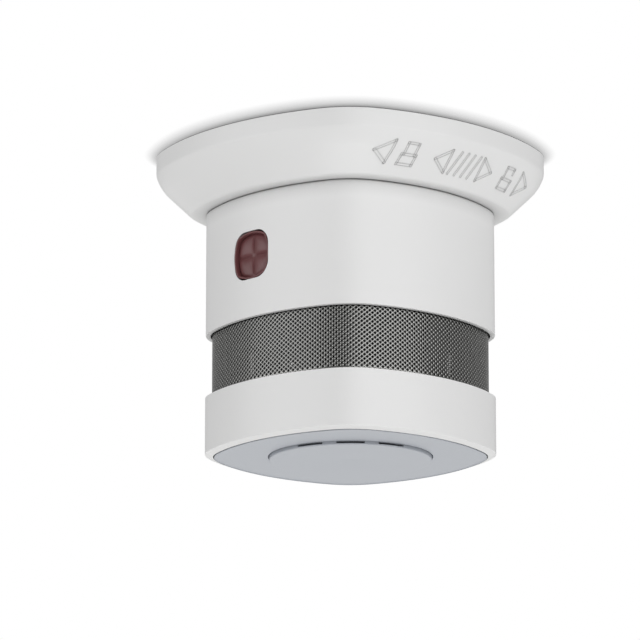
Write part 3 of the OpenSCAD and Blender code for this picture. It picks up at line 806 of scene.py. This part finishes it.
SLOT_PITCH = 30         # degrees between slots, and half a slot's width in degrees
SLOT_HALF = 10
SLOT_DEPTH = 3.6
SLOT_STOP = 0.02        # skin between a slot and the panel's face
BUTTON_STEPS = 360
BUTTON_SKIN = 0.25
CUP_WALL = 1.4
FLANGE_PLAY = 0.1
FACE_T = 1.2
DISH = 0.35
DISH_MARGIN = 0.2
DISH_FLOOR_R = 0.5
button_low, button_high = [corner.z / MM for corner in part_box("test_button")]
slot_low = button_low + BUTTON_SKIN
slot_high = panel_low - SLOT_STOP
flange_z = panel_back_z + FLANGE_PLAY

bm = bmesh.new()
crown = ring(bm, button_r, button_low, BUTTON_STEPS)
cup_foot = draw(bm, crown, button_r, [
    (button_r, slot_low), (button_r, slot_high), (button_r, flange_z), (button_flange_r, flange_z),
    (button_flange_r, button_high), (button_r - CUP_WALL, button_high),
    (button_r - CUP_WALL, button_low + FACE_T)])[-1]
dish_floor = draw(bm, crown, button_r, [
    (button_r - SLOT_DEPTH - DISH_MARGIN, button_low), (DISH_FLOOR_R, button_low + DISH)])[-1]
fill(bm, dish_floor)
fill(bm, cup_foot)
band_z = (slot_low + slot_high) / 2
slots = []
for face in bm.faces:
    middle = face.calc_center_median()
    if abs(middle.z - band_z) < 0.01 and abs(math.hypot(middle.x, middle.y) - button_r) < 0.1:
        off_corner = (math.degrees(math.atan2(middle.y, middle.x)) - 45) % 180 - 90
        if min(abs(off_corner - k * SLOT_PITCH) for k in (-1, 0, 1)) < SLOT_HALF:
            slots.append(face)
pushed = bmesh.ops.extrude_face_region(bm, geom=slots)["geom"]
bmesh.ops.delete(bm, geom=slots, context="FACES_ONLY")
depth_share = 1 - SLOT_DEPTH / button_r
slot_backs = [g for g in pushed if isinstance(g, bmesh.types.BMVert)]
bmesh.ops.scale(bm, vec=(depth_share, depth_share, 1), verts=slot_backs)
round_off(bm, [e for e in crown if e.is_valid], 0.22, 3)
finish_piece("test_button", bm, panel_abs, "button", ["test_button"], 15)


# ---- Boards, chamber, sounder and hardware -----------------------------------------------
# The inner pieces keep their designed shapes and only need their finishes.

tray_abs = moulded("natural_abs", "#C9C8C2", 0.45, 0.4, 0.02, IOR=1.52)
black_pc = moulded("black_polycarbonate", "#1B1B1C", 0.55, 0.4, 0.03, IOR=1.58)
chip_epoxy = moulded("moulded_epoxy", "#222326", 0.5, 0.12, 0.01, IOR=1.55)
clear_epoxy = moulded("clear_cast_epoxy", "#D8D2D6", 0.08, 2.5, 0.001, IOR=1.54, Transmission_Weight=0.8)
dark_epoxy = moulded("daylight_blocking_epoxy", "#17121F", 0.1, 2.5, 0.001, IOR=1.54)
wire_pvc = moulded("pvc_wire_cover", "#A81F16", 0.35, 0.6, 0.01, IOR=1.53)
cell_wrap = moulded("pet_shrink_sleeve", "#2B4F8C", 0.2, 1.5, 0.01, IOR=1.57)


def metal(name, colour, other, roughness, grain_mm, stretch=(1, 1, 1)):
    """Plated or rolled metal: two close tones in a grain that may be drawn out one way."""
    material = bpy.data.materials.new(name)
    material.use_nodes = True
    tree = material.node_tree
    shader = tree.nodes["Principled BSDF"]
    place = add(tree, "ShaderNodeTexCoord").outputs["Object"]
    drawn = add(tree, "ShaderNodeMapping", {"Vector": place, "Scale": stretch})
    grain = add(tree, "ShaderNodeTexNoise",
                {"Vector": drawn.outputs[0], "Scale": 1 / (grain_mm * MM), "Detail": 3.0})
    tone = add(tree, "ShaderNodeMixRGB",
               {"Fac": grain.outputs[0], "Color1": hex_colour(colour), "Color2": hex_colour(other)})
    tree.links.new(tone.outputs[0], shader.inputs["Base Color"])
    shader.inputs["Metallic"].default_value = 1.0
    shader.inputs["Roughness"].default_value = roughness
    return material


nickel = metal("nickel_plate", "#C8C6BE", "#B9B7AE", 0.22, 0.8)
zinc = metal("zinc_plate", "#B4B6B8", "#9FA2A5", 0.34, 0.5)
can_metal = metal("drawn_aluminium_can", "#D2D4D6", "#C2C4C7", 0.3, 1.0, (1, 1, 0.1))
copper = metal("enamelled_copper_winding", "#A8643A", "#7E4526", 0.3, 0.35, (0.1, 0.1, 4))
brass = metal("rolled_brass", "#CDAE62", "#B8994F", 0.3, 0.9, (6, 1, 1))

# Solder mask on glass laminate: glossy green with slightly raised copper tracks under it.
TRACK_SPACING = 0.62    # distance from a cell's middle where a track begins, in cells
mask = bpy.data.materials.new("green_solder_mask")
mask.use_nodes = True
mask_tree = mask.node_tree
mask_shader = mask_tree.nodes["Principled BSDF"]
mask_place = add(mask_tree, "ShaderNodeTexCoord").outputs["Object"]
tracks = add(mask_tree, "ShaderNodeTexVoronoi", {"Vector": mask_place, "Scale": 1 / (2.4 * MM)},
             distance="MANHATTAN", feature="F1")
on_track = add(mask_tree, "ShaderNodeMath", {0: tracks.outputs["Distance"], 1: TRACK_SPACING},
               operation="GREATER_THAN")
mask_tone = add(mask_tree, "ShaderNodeMixRGB", {"Fac": on_track.outputs[0],
                "Color1": hex_colour("#12502A"), "Color2": hex_colour("#1E6B3A")})
mask_tree.links.new(mask_tone.outputs[0], mask_shader.inputs["Base Color"])
mask_relief = add(mask_tree, "ShaderNodeBump", {"Height": on_track.outputs[0], "Distance": 0.03 * MM})
mask_tree.links.new(mask_relief.outputs[0], mask_shader.inputs["Normal"])
mask_shader.inputs["Roughness"].default_value = 0.25

FINISHES = {
    "battery_tray": tray_abs, "sound_horn": tray_abs, "battery_cell": cell_wrap,
    "battery_contact_positive": nickel, "battery_contact_negative": nickel, "piezo_pins": nickel,
    "photodiode_shield": nickel, "main_circuit_board": mask, "switch_board": mask,
    "microcontroller": chip_epoxy, "switch_housing": chip_epoxy, "switch_plunger": chip_epoxy,
    "capacitors": can_metal, "buzzer_coil": copper, "indicator_led": clear_epoxy,
    "ir_emitter": clear_epoxy, "photodiode": dark_epoxy, "chamber_base": black_pc,
    "chamber_cover": black_pc, "vent_cage": black_pc, "piezo_element": brass,
    "button_spring": zinc, "cage_screws": zinc, "tray_screws": zinc, "horn_screws": zinc,
    "link_wires": wire_pvc,
}
for node, material in FINISHES.items():
    nodes[node].data.materials.clear()
    nodes[node].data.materials.append(material)
